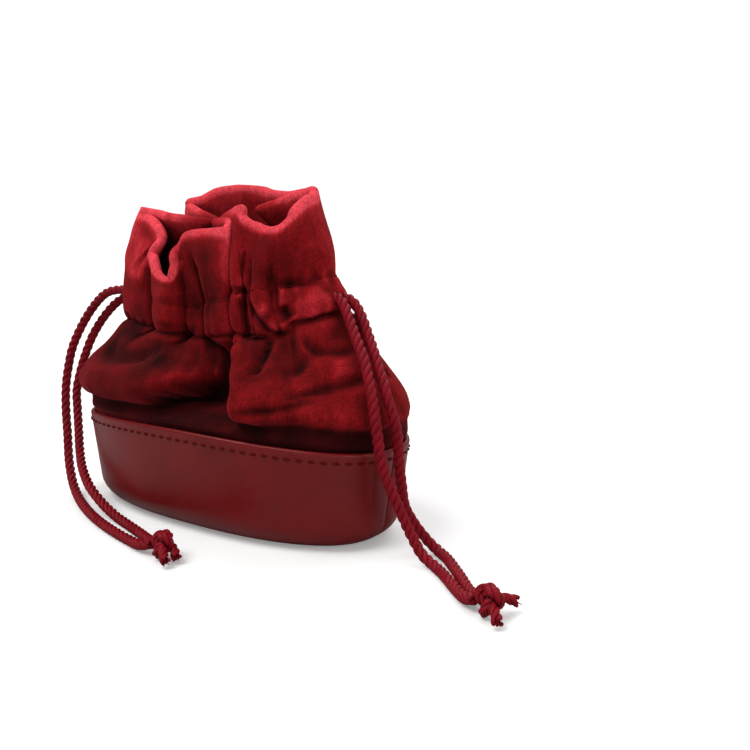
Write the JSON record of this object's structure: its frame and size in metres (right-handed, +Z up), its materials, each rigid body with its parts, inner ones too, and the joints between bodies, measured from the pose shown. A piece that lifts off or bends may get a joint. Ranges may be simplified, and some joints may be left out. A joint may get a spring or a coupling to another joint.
{
  "type": "drawstring gift pouch",
  "caption": "Small gift pouch with a boat-shaped leather base, a velvet body gathered by a drawstring channel under a ruffled header, and twisted cords knotted at each side.",
  "frame": {"origin": "centre of the sole's underside, at the middle of the pouch without its cords", "axes": "+X along the length of the base towards the right-hand cord, -Y to the front, +Z up"},
  "size_m": [0.1864, 0.0826, 0.1026],
  "materials": {
    "leather": "smooth semi-gloss wine red",
    "velvet": "short pile velvet, deep red with a paler sheen at grazing angles",
    "cord": "three-strand twisted satin cord",
    "thread": "matt sewing thread",
    "lining": "plain woven lining",
    "board": "grey bag board"
  },
  "bodies": {
    "base": {"leather_band_front": "leather", "leather_band_back": "leather", "leather_sole": "leather", "base_board": "board", "lining_floor": "lining", "lining_wall": "lining", "rim_topstitch_front": "thread", "rim_topstitch_back": "thread", "end_seam_thread_left": "thread", "end_seam_thread_right": "thread", "velvet_panel_front": "velvet", "velvet_panel_back": "velvet", "side_seam_thread_left": "thread", "side_seam_thread_right": "thread"},
    "neck_front": {"channel_front": "velvet", "facing_front": "velvet", "header_front": "velvet", "channel_lower_stitches_front": "thread", "channel_upper_stitches_front": "thread", "left_cord_run_front": "cord", "right_cord_run_front": "cord"},
    "neck_back": {"channel_back": "velvet", "facing_back": "velvet", "header_back": "velvet", "channel_lower_stitches_back": "thread", "channel_upper_stitches_back": "thread", "left_cord_run_back": "cord", "right_cord_run_back": "cord"},
    "cord_left": {"left_cord_outer_strand": "cord", "left_cord_inner_strand": "cord", "left_cord_knot": "cord", "left_cord_tails": "cord"},
    "cord_right": {"right_cord_outer_strand": "cord", "right_cord_inner_strand": "cord", "right_cord_knot": "cord", "right_cord_tails": "cord"}
  },
  "joints": [
    {"name": "neck_front_open", "type": "hinge", "parent": "base", "child": "neck_front", "pos_m": [0, -0.027, 0.032], "axis": [1, 0, 0], "range_deg": [-2, 22]},
    {"name": "neck_back_open", "type": "hinge", "parent": "base", "child": "neck_back", "pos_m": [0, 0.027, 0.032], "axis": [-1, 0, 0], "range_deg": [-2, 22]},
    {"name": "left_cord_draw", "type": "slide", "parent": "base", "child": "cord_left", "axis": [0, 0, 1], "range_m": [-0.001, 0.01]},
    {"name": "right_cord_draw", "type": "slide", "parent": "base", "child": "cord_right", "axis": [0, 0, 1], "range_m": [-0.001, 0.01]}
  ],
  "couplings": [
    {"joint": "neck_back_open", "follows": "neck_front_open", "ratio": 1},
    {"joint": "left_cord_draw", "follows": "neck_front_open", "m_per_rad": 0.025},
    {"joint": "right_cord_draw", "follows": "neck_front_open", "m_per_rad": 0.025}
  ]
}
